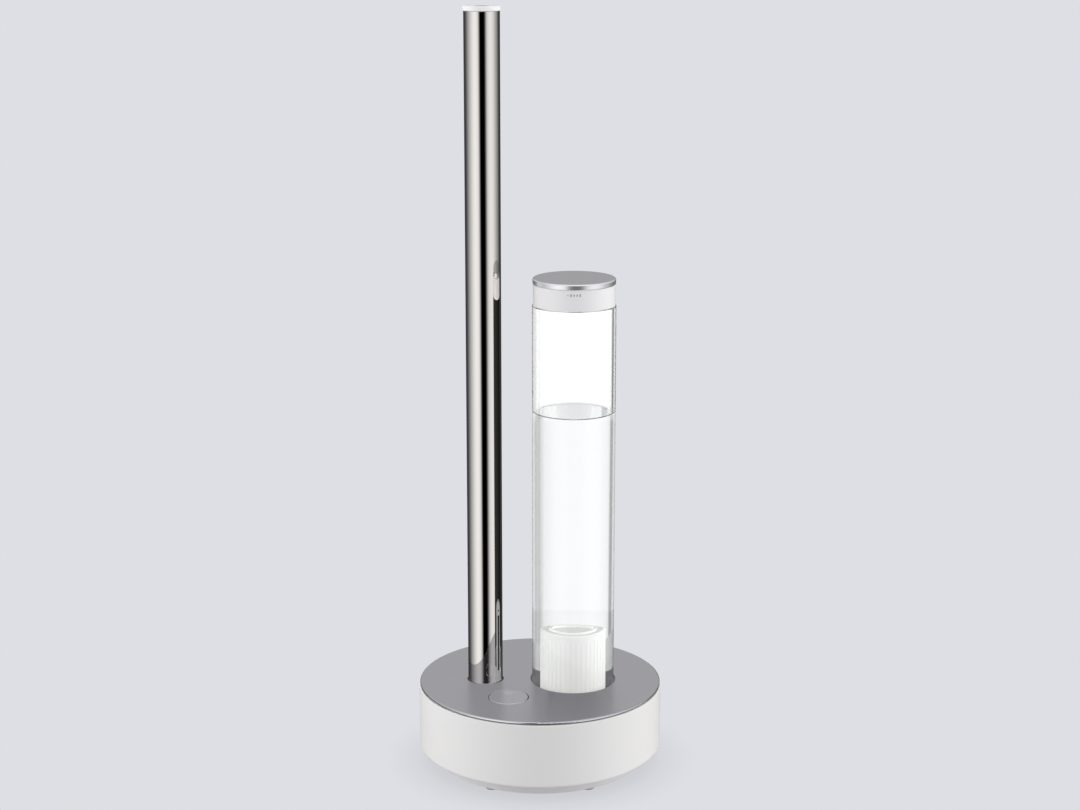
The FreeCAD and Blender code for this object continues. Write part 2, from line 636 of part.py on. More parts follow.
def intake_cover():
    """The curved louvred cover in the back of the drum, with the frame that holds the filter."""
    half, inset = INTAKE_HALF - 0.4, 0.4
    z0, z1 = INTAKE_BOTTOM_Z + inset, INTAKE_TOP_Z - inset
    window = rounded_block(-half, half, 100, DRUM_R + 5, z0, z1, 2.6)
    body = ring(DRUM_R, DRUM_R_IN + 0.4, 0, 100).common(window)
    frame = block(-FILTER_FRAME_HALF, FILTER_FRAME_HALF, FILTER_FRAME_Y, DRUM_R, z0 + 1.6, z1 - 1.6)
    frame = frame.cut(block(-29.5, 29.5, FILTER_FRAME_Y + 1.2, DRUM_R + 1, z0 + 3.1, z1 - 3.1))
    frame = frame.cut(block(-26, 26, FILTER_FRAME_Y - 1, FILTER_FRAME_Y + 2, z0 + 6, z1 - 6))
    body = body.fuse(frame.common(cylinder(DRUM_R_IN + 0.6, 0, 100)))
    first = (z0 + z1 - (LOUVRE_COUNT - 1) * LOUVRE_PITCH - LOUVRE_HEIGHT) / 2
    for index in range(LOUVRE_COUNT):
        z = first + index * LOUVRE_PITCH
        body = body.cut(rounded_block(-26, 26, 127, DRUM_R + 5, z, z + LOUVRE_HEIGHT, 0.9))
    return body.removeSplitter()


def air_filter():
    z0, z1 = INTAKE_BOTTOM_Z + 3.6, INTAKE_TOP_Z - 3.6
    return block(-29.3, 29.3, FILTER_FRAME_Y + 1.3, FILTER_FRAME_Y + 7, z0, z1)


# ---- power button and level sensor -------------------------------------------------------------
def symbol(z0, z1):
    """The power symbol: an open circle with a bar in its gap."""
    line = SYMBOL_LINE / 2
    circle = ring(SYMBOL_R + line, SYMBOL_R - line, z0, z1, BUTTON_X, SYMBOL_Y)
    gap = block(BUTTON_X - 1.3, BUTTON_X + 1.3, SYMBOL_Y, SYMBOL_Y + 6, z0 - 1, z1 + 1)
    bar = block(BUTTON_X - line, BUTTON_X + line, SYMBOL_Y + 0.4, SYMBOL_Y + 4.6, z0, z1)
    return Part.makeCompound([circle.cut(gap), bar])


def power_button():
    body = cylinder(BUTTON_R, BUTTON_CAP_Z, BUTTON_TOP_Z, BUTTON_X, BUTTON_Y)
    body = body.makeFillet(0.6, rim(body, BUTTON_R, BUTTON_TOP_Z))
    skirt = ring(BUTTON_R - 1.5, BUTTON_R - 3.0, BUTTON_GUIDE_Z + 5, BUTTON_CAP_Z, BUTTON_X, BUTTON_Y)
    body = body.fuse(skirt)
    body = body.fuse(cylinder(2.5, SWITCH_TOP_Z + 1.7, BUTTON_CAP_Z, BUTTON_X, BUTTON_Y))
    return body.cut(symbol(BUTTON_TOP_Z - SYMBOL_DEPTH, BUTTON_TOP_Z + 1))


def button_symbol():
    """The power symbol, inlaid flush in the button's face."""
    return symbol(BUTTON_TOP_Z - SYMBOL_DEPTH, BUTTON_TOP_Z)


def button_spring():
    return coil_spring(6.5, 0.5, SWITCH_BOARD_Z + BOARD_THICK, BUTTON_CAP_Z - 0.2, 6, BUTTON_X, BUTTON_Y)


def switch_board():
    body = block(BUTTON_X - 30, BUTTON_X + 30, BUTTON_Y - 10, BUTTON_Y + 10,
                 SWITCH_BOARD_Z, SWITCH_BOARD_Z + BOARD_THICK)
    for x, y in SWITCH_POSTS:
        body = body.cut(cylinder(1.3, SWITCH_BOARD_Z - 1, SWITCH_BOARD_Z + 3, x, y))
    return body


def tact_switch():
    body = block(BUTTON_X - 3, BUTTON_X + 3, BUTTON_Y - 3, BUTTON_Y + 3,
                 SWITCH_BOARD_Z + BOARD_THICK, SWITCH_TOP_Z)
    return body.cut(cylinder(2.0, SWITCH_TOP_Z - 2.9, SWITCH_TOP_Z + 1, BUTTON_X, BUTTON_Y))


def switch_plunger():
    return cylinder(1.7, SWITCH_TOP_Z - 1.4, SWITCH_TOP_Z + 1.7, BUTTON_X, BUTTON_Y)


def level_post():
    return cylinder(2.4, BASIN_FLOOR_Z, 64, FLOAT_X).fuse(cylinder(3.8, 64, 66, FLOAT_X))


def level_float():
    body = ring(FLOAT_R, 2.8, BASIN_FLOOR_Z + 1, BASIN_FLOOR_Z + 9, FLOAT_X)
    return body.makeFillet(1.2, rim(body, FLOAT_R, BASIN_FLOOR_Z + 9))


# ---- mist pipe and nozzle ----------------------------------------------------------------------
def mist_pipe():
    body = ring(PIPE_R, PIPE_R - PIPE_WALL, PIPE_BOTTOM_Z, PIPE_TOP_Z, PIPE_X)
    return body.makeFillet(0.3, rim(body, PIPE_R, PIPE_TOP_Z))


def pipe_liner():
    return ring(LINER_R, LINER_R_IN, PIPE_BOTTOM_Z, PIPE_TOP_Z - 1, PIPE_X)


def pipe_foot():
    """The plastic foot of the pipe, with a groove for its seal."""
    body = ring(PIPE_R, LINER_R_IN, PIPE_FOOT_Z, PIPE_BOTTOM_Z, PIPE_X)
    body = body.makeFillet(0.8, rim(body, PIPE_R, PIPE_FOOT_Z))
    return body.cut(ring(PIPE_R + 1, PIPE_R - 1.1, PIPE_FOOT_Z + 2, PIPE_FOOT_Z + 4, PIPE_X))


def pipe_seal():
    return ring(PIPE_R + 0.3, PIPE_R - 1.1, PIPE_FOOT_Z + 2.1, PIPE_FOOT_Z + 3.9, PIPE_X)


def mist_nozzle():
    """The white outlet that turns in the top of the pipe. Its mouth leans to one side."""
    body = cylinder(NOZZLE_R, PIPE_TOP_Z + GAP, TOTAL_HEIGHT, PIPE_X)
    body = body.makeFillet(1.4, rim(body, NOZZLE_R, TOTAL_HEIGHT))
    body = body.fuse(cylinder(NOZZLE_PLUG_R, NOZZLE_PLUG_Z, PIPE_TOP_Z + GAP, PIPE_X))
    roof_z = TOTAL_HEIGHT - NOZZLE_ROOF
    body = body.cut(cylinder(NOZZLE_BORE_R, NOZZLE_PLUG_Z - 1, roof_z, PIPE_X))
    lean = Vector(0, -math.sin(math.radians(MOUTH_TILT)), math.cos(math.radians(MOUTH_TILT)))
    middle = Vector(PIPE_X, 0, TOTAL_HEIGHT - NOZZLE_ROOF / 2)
    body = body.cut(Part.makeCylinder(MOUTH_R, 40, middle - lean * 20, lean))
    return body


# ---- tank, cartridge and valve -----------------------------------------------------------------
def tank_tube():
    body = turned([
        (TANK_R_IN, TUBE_BOTTOM_Z), (TANK_R, TUBE_BOTTOM_Z), (TANK_R, TANK_SHOULDER_Z),
        (NECK_R, TANK_SHOULDER_Z), (NECK_R, NECK_TOP_Z), (TANK_R_IN, NECK_TOP_Z),
    ], TANK_X)
    return body.makeFillet(0.4, rim(body, TANK_R, TANK_SHOULDER_Z))


def tank_base():
    """The white closure in the foot of the tube, with the valve hole and the cartridge's spigot."""
    plug_r = TANK_R_IN - 0.2
    return turned([
        (VALVE_HOLE_R, TANK_BASE_Z), (TANK_R - 1.5, TANK_BASE_Z), (TANK_R - 0.4, TANK_BASE_Z + 1.1),
        (TANK_R - 0.4, TUBE_BOTTOM_Z), (plug_r, TUBE_BOTTOM_Z), (plug_r, TUBE_BOTTOM_Z + 2),
        (plug_r - 1.6, TUBE_BOTTOM_Z + 2), (plug_r - 1.6, TUBE_BOTTOM_Z + 4), (plug_r, TUBE_BOTTOM_Z + 4),
        (plug_r, TANK_FLOOR_Z), (23.8, TANK_FLOOR_Z), (23.8, TANK_FLOOR_Z + 3),
        (21.8, TANK_FLOOR_Z + 3), (21.8, TANK_FLOOR_Z), (VALVE_HOLE_R, TANK_FLOOR_Z),
    ], TANK_X)


def tank_base_seal():
    return ring(TANK_R_IN - 0.1, TANK_R_IN - 1.7, TUBE_BOTTOM_Z + 2.1, TUBE_BOTTOM_Z + 3.9, TANK_X)


def cartridge_case():
    """The ribbed case of the filter cartridge, with a shelf under the resin."""
    inner_r = CARTRIDGE_R - CARTRIDGE_WALL
    body = cylinder(CARTRIDGE_R, TANK_FLOOR_Z, CARTRIDGE_SHOULDER_Z, TANK_X)
    rib = block(CARTRIDGE_R - 1, CARTRIDGE_R + RIB_PROUD, -0.8, 0.8, TANK_FLOOR_Z + 1, CARTRIDGE_SHOULDER_Z)
    ribs = []
    for index in range(RIB_COUNT):
        copy = rib.copy()
        copy.rotate(Vector(0, 0, 0), Vector(0, 0, 1), index * 360.0 / RIB_COUNT)
        copy.translate(Vector(TANK_X, 0, 0))
        ribs.append(copy)
    body = fused([body] + ribs)
    body = body.cut(cylinder(inner_r, TANK_FLOOR_Z - 1, CARTRIDGE_SHELF_Z, TANK_X))
    body = body.cut(cylinder(inner_r, CARTRIDGE_SHELF_Z + 2, CARTRIDGE_SHOULDER_Z + 1, TANK_X))
    for angle in range(0, 360, 45):
        x, y = polar(14.0, angle)
        body = body.cut(cylinder(2.2, CARTRIDGE_SHELF_Z - 1, CARTRIDGE_SHELF_Z + 3, TANK_X + x, y))
    return body


def cartridge_cap():
    """The cap on the cartridge, with a raised ring to turn it by."""
    z = CARTRIDGE_SHOULDER_Z
    edge = CARTRIDGE_R + RIB_PROUD
    return turned([
        (0, z), (edge, z), (edge, z + 5), (edge - 1.6, z + 7), (19.5, z + 7.4),
        (19.0, z + 9.5), (17.0, z + 9.5), (16.4, z + 7.0), (0, z + 7.0),
    ], TANK_X)


def cartridge_resin():
    return cylinder(CARTRIDGE_R - 2.0, CARTRIDGE_SHELF_Z + 2, CARTRIDGE_SHOULDER_Z - 0.5, TANK_X)


def valve_plunger():
    stem_z = LIFTER_TOP_Z + 0.4
    return fused([
        cylinder(2.2, stem_z, VALVE_HEAD_Z, TANK_X),
        cylinder(VALVE_HEAD_R, VALVE_HEAD_Z, VALVE_HEAD_Z + 2, TANK_X),
        cylinder(3.2, VALVE_HEAD_Z + 2, VALVE_HEAD_Z + 7, TANK_X),
    ])


def valve_seal():
    return ring(VALVE_HEAD_R, 2.2, VALVE_HEAD_Z - 1.5, VALVE_HEAD_Z, TANK_X)


def valve_spring():
    return coil_spring(5.2, 0.45, VALVE_HEAD_Z + 2.2, CARTRIDGE_SHELF_Z - 0.1, 4, TANK_X)


# ---- lid ---------------------------------------------------------------------------------------
def lid_disc():
    """The metal top of the lid: a flat face inside a narrow convex bevel."""
    face_r = LID_R - 1.6
    start = Vector(TANK_X + face_r, 0, LID_TOP_Z)
    middle = Vector(TANK_X + LID_R - 0.45, 0, LID_TOP_Z - 0.75)
    end = Vector(TANK_X + LID_R, 0, LID_TOP_Z - 2.2)
    corners = [
        end, Vector(TANK_X + LID_R, 0, LID_DISC_Z + 1.0), Vector(TANK_X + LID_R - 0.8, 0, LID_DISC_Z),
        Vector(TANK_X, 0, LID_DISC_Z), Vector(TANK_X, 0, LID_TOP_Z), start,
    ]
    edges = [Part.Arc(start, middle, end).toShape()]
    edges += [Part.LineSegment(a, b).toShape() for a, b in zip(corners, corners[1:])]
    face = Part.Face(Part.Wire(edges))
    return face.revolve(Vector(TANK_X, 0, 0), Vector(0, 0, 1), 360)


def lid_skirt():
    bottom = TANK_SHOULDER_Z + GAP
    body = turned([
        (0, LID_ROOF_Z), (SKIRT_R_IN, LID_ROOF_Z), (SKIRT_R_IN, bottom), (SKIRT_R, bottom),
        (SKIRT_R, LID_DISC_Z), (0, LID_DISC_Z),
    ], TANK_X)
    return body.makeFillet(0.4, rim(body, SKIRT_R, bottom))


def lid_gasket():
    return ring(SKIRT_R_IN - 0.2, TANK_R_IN - 0.8, NECK_TOP_Z + GAP, LID_ROOF_Z, TANK_X)


SUB_PARTS = (
    foot_pads, foot_ring, drum_shell, bottom_plate, housing_screws, top_deck, pipe_socket,
    deck_screws, top_disc, water_basin, basin_gasket, tank_seat_ring, valve_lifter, ultrasonic_plate, plate_seal,
    plate_clamp, clamp_screws, driver_board, driver_components, heat_sink, power_board,
    power_components, board_screws, power_inlet, inlet_lead, fan_lead, board_lead, fan_housing,
    fan_cover, fan_motor, fan_impeller, fan_shaft, fan_duct, intake_cover, air_filter,
    power_button, button_symbol, button_spring, switch_board, tact_switch, switch_plunger,
    level_post, level_float, mist_pipe, pipe_liner, pipe_foot, pipe_seal, mist_nozzle,
    tank_tube, tank_base, tank_base_seal, cartridge_case, cartridge_cap, cartridge_resin,
    valve_plunger, valve_seal, valve_spring, lid_disc, lid_skirt, lid_gasket,
)


def main():
    os.makedirs("parts", exist_ok=True)
    for make in SUB_PARTS:
        shape = make()
        if not shape.isValid() or not shape.Solids or shape.Volume <= 0:
            raise SystemExit(f"{make.__name__} is not a valid solid")
        shape.exportStep(f"parts/{make.__name__}.step")
        print(f"{make.__name__:20s} {len(shape.Solids):3d} solids  {shape.Volume / 1000:9.2f} cm3")


main()
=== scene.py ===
"""Looks for the tower humidifier: fine turned pieces, water, materials, studio and camera."""
import json
import math

import bmesh
import bpy
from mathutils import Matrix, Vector


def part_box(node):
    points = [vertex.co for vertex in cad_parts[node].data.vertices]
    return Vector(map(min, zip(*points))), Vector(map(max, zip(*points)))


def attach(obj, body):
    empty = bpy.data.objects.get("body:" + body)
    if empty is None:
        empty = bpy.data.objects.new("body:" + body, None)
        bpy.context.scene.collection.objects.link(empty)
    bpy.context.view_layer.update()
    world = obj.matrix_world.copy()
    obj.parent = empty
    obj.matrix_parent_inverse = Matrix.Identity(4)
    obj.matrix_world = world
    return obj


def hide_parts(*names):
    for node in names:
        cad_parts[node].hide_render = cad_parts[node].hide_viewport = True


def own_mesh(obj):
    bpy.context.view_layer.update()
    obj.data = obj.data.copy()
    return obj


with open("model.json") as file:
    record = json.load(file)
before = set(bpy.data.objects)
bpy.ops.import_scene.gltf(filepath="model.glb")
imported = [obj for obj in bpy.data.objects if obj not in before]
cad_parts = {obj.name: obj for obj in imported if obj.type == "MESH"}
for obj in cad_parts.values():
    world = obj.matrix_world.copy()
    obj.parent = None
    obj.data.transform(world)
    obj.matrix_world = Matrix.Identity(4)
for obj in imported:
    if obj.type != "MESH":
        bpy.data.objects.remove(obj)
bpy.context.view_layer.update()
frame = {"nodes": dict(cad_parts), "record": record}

NODES = frame["nodes"]
MM = 0.001
WHITE = (1.0, 1.0, 1.0)


# ---- node helpers --------------------------------------------------------------------------------
class Graph:
    """A short way to add and link shader nodes."""

    def __init__(self, owner):
        owner.use_nodes = True
        self.tree = owner.node_tree
        self.tree.nodes.clear()

    def add(self, kind, inputs=None, **settings):
        node = self.tree.nodes.new(kind)
        for key, value in settings.items():
            setattr(node, key, value)
        for key, value in (inputs or {}).items():
            self.put(node.inputs[key], value)
        return node

    def put(self, socket, value):
        if isinstance(value, bpy.types.NodeSocket):
            self.tree.links.new(value, socket)
        else:
            socket.default_value = value

    def math(self, operation, a, b=0.0, clamp=False):
        node = self.add("ShaderNodeMath", {0: a, 1: b}, operation=operation, use_clamp=clamp)
        return node.outputs[0]

    def blend(self, factor, a, b, data="RGBA", blend="MIX"):
        first = {"RGBA": 6, "FLOAT": 2}[data]
        node = self.add("ShaderNodeMix", data_type=data, blend_type=blend)
        self.put(node.inputs[0], factor)
        self.put(node.inputs[first], a)
        self.put(node.inputs[first + 1], b)
        return node.outputs[{"RGBA": 2, "FLOAT": 0}[data]]

    def ramp(self, factor, stops):
        node = self.add("ShaderNodeValToRGB", {0: factor})
        ramp = node.color_ramp
        ramp.interpolation = "LINEAR"
        while len(ramp.elements) > 1:
            ramp.elements.remove(ramp.elements[-1])
        for index, (place, colour) in enumerate(stops):
            element = ramp.elements[0] if index == 0 else ramp.elements.new(place)
            element.position = place
            element.color = colour
        return node.outputs[0]

    def remap(self, value, low, high, to_low, to_high, smooth=False):
        node = self.add("ShaderNodeMapRange", {0: value, 1: low, 2: high, 3: to_low, 4: to_high})
        node.interpolation_type = "SMOOTHSTEP" if smooth else "LINEAR"
        return node.outputs[0]

    def paint_flat_light_where(self, factor, surface, tint, strength):
        """The surface, but a painted flat light of its own where factor is 1."""
        flat = self.add("ShaderNodeEmission", {"Color": rgba(tint), "Strength": strength})
        mixed = self.add("ShaderNodeMixShader", {0: factor, 1: surface, 2: flat.outputs[0]})
        return mixed.outputs[0]

    def finish(self, kind, surface):
        """Ends the tree with its output node."""
        out = self.add(kind)
        self.put(out.inputs["Surface"], surface)
        return out


def rgba(colour):
    return (*colour, 1.0)


def grey(value):
    return (value, value, value, 1.0)


def scaled(colour, factor):
    return rgba([min(1.0, c * factor) for c in colour])


def noise(graph, scale, detail=3.0, stretch=(1, 1, 1)):
    """Noise in the piece's own coordinates, in metres, drawn out along an axis if asked."""
    place = graph.add("ShaderNodeTexCoord").outputs["Object"]
    mapped = graph.add("ShaderNodeMapping", {"Vector": place, "Scale": stretch}).outputs[0]
    node = graph.add("ShaderNodeTexNoise", {"Vector": mapped, "Scale": scale, "Detail": detail})
    return node.outputs["Fac"]


# Cycles counts a ray's bounces; these lie halfway between two counts.
AFTER_ONE = 1.5
AFTER_TWO = 2.5
AFTER_SIX = 6.5


def seen_plain(graph):
    """1 for a surface seen in polished metal, or by light that has run round inside the tank: there
    pieces show a painted flat reflection, clear ones turn see-through.
    """
    path = graph.add("ShaderNodeLightPath").outputs
    reflected = graph.math("SUBTRACT", path["Is Glossy Ray"], path["Is Transmission Ray"], clamp=True)
    first = graph.math("LESS_THAN", path["Ray Depth"], AFTER_ONE)
    in_metal = graph.math("MULTIPLY", reflected, first)
    in_tank = graph.math("MAXIMUM", graph.math("GREATER_THAN", path["Ray Depth"], AFTER_SIX),
                         graph.math("GREATER_THAN", path["Glossy Depth"], AFTER_TWO))
    return graph.math("MAXIMUM", in_metal, in_tank)


STEEP = (0.55, 0.85)         # a face is steep if its normal rises less than the first, else flat
EDGE_TINT = 1.9              # polished bevels get a base colour this much lighter than the brushed top between them: partly brighter metal, partly a painted highlight
LEFT_SIDE = (-0.96, -0.88)   # in a piece's painted reflection, normals that point left by this much change to the left side's grey
PAINTED_GLOW_TINT = (1.0, 0.985, 0.96)      # colour of the painted light that a piece gives off, though it is no lamp
PAINTED_IMAGE_TINT = (0.97, 0.98, 1.0)      # colour of a piece's painted flat reflection in polished metal


def finish_material(name, colour, roughness, metallic=0.0, spread=0.03, grain=900.0, depth=0.02,
                    cloud=14.0, rough_spread=0.05, stretch=(1, 1, 1), polished_edge_and_highlight=None, painted_edge_glow=0.0,
                    painted_wall_glow=0.0, mirrored=None, through=None, fixed=None):
    """A surface with slow colour clouds, a fine grain in the bump and uneven gloss.

    cloud and grain are noise scales, depth is the bump's depth in millimetres.
    polished_edge_and_highlight is the roughness of the bevels round a flat top, which also get a
    lighter colour, partly a painted highlight; painted_edge_glow is their painted glow.
    painted_wall_glow is a painted light that the upright walls give off, though they are no lamp.
    mirrored is the grey of the piece's painted flat reflection in polished metal, on its left side and
    elsewhere.
    through is the grey of a painted flat light that replaces the piece where it is seen through the
    water, as if the tank's white back light covers it.
    """
    material = bpy.data.materials.new(name)
    graph = Graph(material)
    slow = noise(graph, cloud, 4.0, stretch)
    fine = noise(graph, grain, 2.0, stretch)
    tint = graph.blend(slow, scaled(colour, 1 - spread), scaled(colour, 1 + spread))
    gloss = graph.remap(slow, 0.3, 0.7, max(0.0, roughness - rough_spread), roughness + rough_spread)
    facing = graph.add("ShaderNodeTexCoord").outputs["Normal"]
    normal = graph.add("ShaderNodeSeparateXYZ", {0: facing}).outputs
    steep = graph.remap(normal[2], *STEEP, 1.0, 0.0)
    # The bevels' polish is in the roughness; their lighter colour is partly brighter metal, partly a
    # painted highlight.
    if polished_edge_and_highlight is not None:
        gloss = graph.blend(steep, gloss, polished_edge_and_highlight, "FLOAT")
        tint = graph.blend(steep, tint, scaled(colour, EDGE_TINT))
    bump = graph.add("ShaderNodeBump", {"Strength": 0.6, "Distance": depth * MM, "Height": fine})
    shader = graph.add("ShaderNodeBsdfPrincipled", {
        "Base Color": tint, "Roughness": gloss, "Metallic": metallic, "Normal": bump.outputs[0],
    })
    # Painted light: the steep faces give off light of their own, though they are no lamp.
    if painted_wall_glow or painted_edge_glow:
        glow = graph.math("MULTIPLY", steep, painted_wall_glow or painted_edge_glow)
        graph.put(shader.inputs["Emission Strength"], glow)
        shader.inputs["Emission Color"].default_value = rgba(PAINTED_GLOW_TINT)
    for key, value in (fixed or {}).items():
        shader.inputs[key].default_value = value
    surface = shader.outputs[0]
    # Painted reflection: in polished metal the piece shows as a flat emitted grey, another grey on its
    # left side.
    if mirrored is not None:
        shade = graph.remap(normal[0], *LEFT_SIDE, *mirrored)
        surface = graph.paint_flat_light_where(seen_plain(graph), surface, PAINTED_IMAGE_TINT, shade)
    # Painted light: seen through the water, the piece shows as a flat emitted grey.
    if through is not None:
        path = graph.add("ShaderNodeLightPath").outputs
        far = graph.math("MULTIPLY", path["Is Transmission Ray"],
                         graph.math("GREATER_THAN", path["Ray Depth"], AFTER_TWO))
        surface = graph.paint_flat_light_where(far, surface, WHITE, through)
    graph.finish("ShaderNodeOutputMaterial", surface)
    return material


SMUDGE = 0.012               # roughness of the smudged places of a clear wall


def clear_material(name, ior, absorb, density, bump_depth):
    """Clear acrylic or water: refraction outside, a faint tint inside.

    Its image in the polished pieces is a plain see-through one, which the studio darkens.
    Light that has run round inside the wall for long leaves it straight on.
    bump_depth is in millimetres, absorb and density colour the light on its way through.
    """
    material = bpy.data.materials.new(name)
    graph = Graph(material)
    wave = noise(graph, 6.0, 2.0)
    gloss = graph.remap(noise(graph, 220.0, 4.0), 0.55, 0.8, 0.0, SMUDGE)
    bump = graph.add("ShaderNodeBump", {"Strength": 0.3, "Distance": bump_depth * MM, "Height": wave})
    tint = graph.blend(noise(graph, 9.0), rgba((0.985, 0.992, 0.995)), rgba(WHITE))
    shader = graph.add("ShaderNodeBsdfPrincipled", {
        "Base Color": tint, "Roughness": gloss, "Normal": bump.outputs[0],
    })
    shader.inputs["IOR"].default_value = ior
    shader.inputs["Transmission Weight"].default_value = 1.0
    straight = graph.add("ShaderNodeBsdfTransparent", {"Color": grey(1.0)})
    surface = graph.add("ShaderNodeMixShader", {
        0: seen_plain(graph), 1: shader.outputs[0], 2: straight.outputs[0]})
    volume = graph.add("ShaderNodeVolumeAbsorption", {"Color": rgba(absorb), "Density": density})
    out = graph.finish("ShaderNodeOutputMaterial", surface.outputs[0])
    graph.put(out.inputs["Volume"], volume.outputs[0])
    return material


BEADS_PER_M = 900.0


def beads_material(name, colour):
    """Small packed beads: cells in the bump, and in the colour as painted shade at the cells' rims and
    painted highlights at their middles.
    """
    material = bpy.data.materials.new(name)
    graph = Graph(material)
    place = graph.add("ShaderNodeTexCoord").outputs["Object"]
    cells = graph.add("ShaderNodeTexVoronoi", {"Vector": place, "Scale": BEADS_PER_M})
    # Painted shade and highlight: each cell is darker towards its rim and lighter at its middle.
    tint = graph.blend(cells.outputs["Distance"], scaled(colour, 1.3), scaled(colour, 0.55))
    bump = graph.add("ShaderNodeBump", {
        "Strength": 0.8, "Distance": 0.3 * MM, "Height": cells.outputs["Distance"]}, invert=True)
    gloss = graph.remap(cells.outputs["Distance"], 0.0, 1.0, 0.25, 0.5)
    shader = graph.add("ShaderNodeBsdfPrincipled", {
        "Base Color": tint, "Roughness": gloss, "Normal": bump.outputs[0]})
    graph.finish("ShaderNodeOutputMaterial", shader.outputs[0])
    return material


# ---- materials, one for each slot of the record ---------------------------------------------------
GLOSSY_SHELL = {"Specular IOR Level": 0.5, "Coat Weight": 0.15, "Coat Roughness": 0.25}
MATERIALS = {
    "pad_rubber": dict(colour=(0.42, 0.42, 0.42), roughness=0.75, grain=1400, depth=0.08),
    "foot_plastic": dict(colour=(0.72, 0.70, 0.70), roughness=0.5, depth=0.03),
    "shell_white": dict(colour=(0.837, 0.825, 0.806), roughness=0.42, spread=0.012, depth=0.012,
                        fixed=GLOSSY_SHELL),
    "deck_plastic": dict(colour=(0.20, 0.20, 0.205), roughness=0.6, depth=0.04),
    # Its bevels are lighter, partly as a painted highlight, and seen through the water it is a painted
    # flat grey.
    "disc_aluminium": dict(colour=(0.455, 0.450, 0.479), roughness=0.30, metallic=1.0, spread=0.02,
                           grain=2600, depth=0.006, cloud=9.0, rough_spread=0.03, polished_edge_and_highlight=0.14,
                           through=0.62),
    # Its bevels are lighter, partly as a painted highlight, and give off a painted glow.
    "lid_aluminium": dict(colour=(0.462, 0.462, 0.488), roughness=0.30, metallic=1.0, spread=0.02,
                          grain=2600, depth=0.006, cloud=9.0, rough_spread=0.03, polished_edge_and_highlight=0.25,
                          painted_edge_glow=0.13),
    # Its image in the disc is a painted flat grey.
    "pipe_chrome": dict(colour=(0.915, 0.888, 0.857), roughness=0.025, metallic=1.0, spread=0.01,
                        grain=500, depth=0.0006, cloud=6.0, rough_spread=0.015,
                        stretch=(1, 1, 0.05), mirrored=(0.50, 0.50)),
    "inner_plastic": dict(colour=(0.74, 0.75, 0.75), roughness=0.5),
    # Its upright walls give off a faint painted light.
    "nozzle_white": dict(colour=(0.90, 0.895, 0.885), roughness=0.3, spread=0.01, depth=0.008,
                         painted_wall_glow=0.04),
    # Its bevels are lighter, partly as a painted highlight.
    "button_aluminium": dict(colour=(0.51, 0.508, 0.528), roughness=0.29, metallic=1.0, spread=0.02,
                             grain=2600, depth=0.006, cloud=11.0, rough_spread=0.03,
                             polished_edge_and_highlight=0.14),
    "lamp_white": dict(colour=(0.50, 0.52, 0.55), roughness=0.3, spread=0.02),
    "seal_silicone": dict(colour=(0.72, 0.72, 0.70), roughness=0.5, spread=0.04),
    "ultrasonic_steel": dict(colour=(0.62, 0.60, 0.56), roughness=0.3, metallic=1.0),
    "clamp_plastic": dict(colour=(0.03, 0.03, 0.032), roughness=0.5, depth=0.05),
    "screw_steel": dict(colour=(0.55, 0.55, 0.57), roughness=0.3, metallic=1.0),
    "board_green": dict(colour=(0.02, 0.12, 0.05), roughness=0.4, spread=0.15, cloud=60.0),
    "component_black": dict(colour=(0.025, 0.025, 0.028), roughness=0.45, spread=0.1),
    "heat_sink_aluminium": dict(colour=(0.58, 0.58, 0.60), roughness=0.4, metallic=1.0,
                                stretch=(1, 1, 0.1)),
    "lead_pvc": dict(colour=(0.02, 0.02, 0.022), roughness=0.5),
    "impeller_black": dict(colour=(0.025, 0.025, 0.028), roughness=0.45),
    "filter_foam": dict(colour=(0.03, 0.03, 0.033), roughness=0.95, spread=0.4, cloud=700,
                        grain=1100, depth=0.6),
    "spring_steel": dict(colour=(0.60, 0.60, 0.62), roughness=0.25, metallic=1.0),
    "switch_plunger_plastic": dict(colour=(0.03, 0.03, 0.03), roughness=0.35),
    "float_white": dict(colour=(0.85, 0.85, 0.84), roughness=0.7, grain=1500, depth=0.1),
    "tank_white": dict(colour=(0.875, 0.86, 0.86), roughness=0.38, spread=0.01, depth=0.01,
                       fixed=GLOSSY_SHELL),
    # Its upright walls give off a painted light, and in the pipe its image is a painted flat grey, dark
    # on its left side.
    "cartridge_white": dict(colour=(0.80, 0.79, 0.765), roughness=0.5, spread=0.015, depth=0.02,
                            painted_wall_glow=0.33, mirrored=(0.02, 0.40)),
    "valve_plastic": dict(colour=(0.80, 0.80, 0.79), roughness=0.4),
}
made = {slot: finish_material(slot, **values) for slot, values in MATERIALS.items()}
made["cartridge_resin"] = beads_material("cartridge_resin", (0.36, 0.20, 0.07))
made["tank_clear"] = clear_material("tank_clear", 1.49, (0.80, 0.86, 0.88), 2.5, bump_depth=0.05)
made["mark_grey"] = finish_material("mark_grey", (0.42, 0.42, 0.43), 0.45)
made["water"] = clear_material("water", 1.333, (0.86, 0.94, 0.97), 0.8, bump_depth=0.1)


def paint_the_cad_pieces():
    for row in frame["record"]["subparts"]:
        mesh = NODES[row["node"]].data
        mesh.materials.clear()
        mesh.materials.append(made[row["material_slot"]])


# ---- mesh helpers ---------------------------------------------------------------------------------
ROUND_STEPS = 256            # facets round a lathed piece
CORNER_STEPS = 6             # facets of a rounded corner
SUPPORT = 0.15 * MM          # points beside each rounded corner keep the long faces' shading flat
SHARP_ANGLE = 0.6            # radians between two faces from which their edge is sharp
MERGE = 1e-6                 # points closer than this are one
NO_LENGTH = 1e-7             # edges shorter than this are dropped


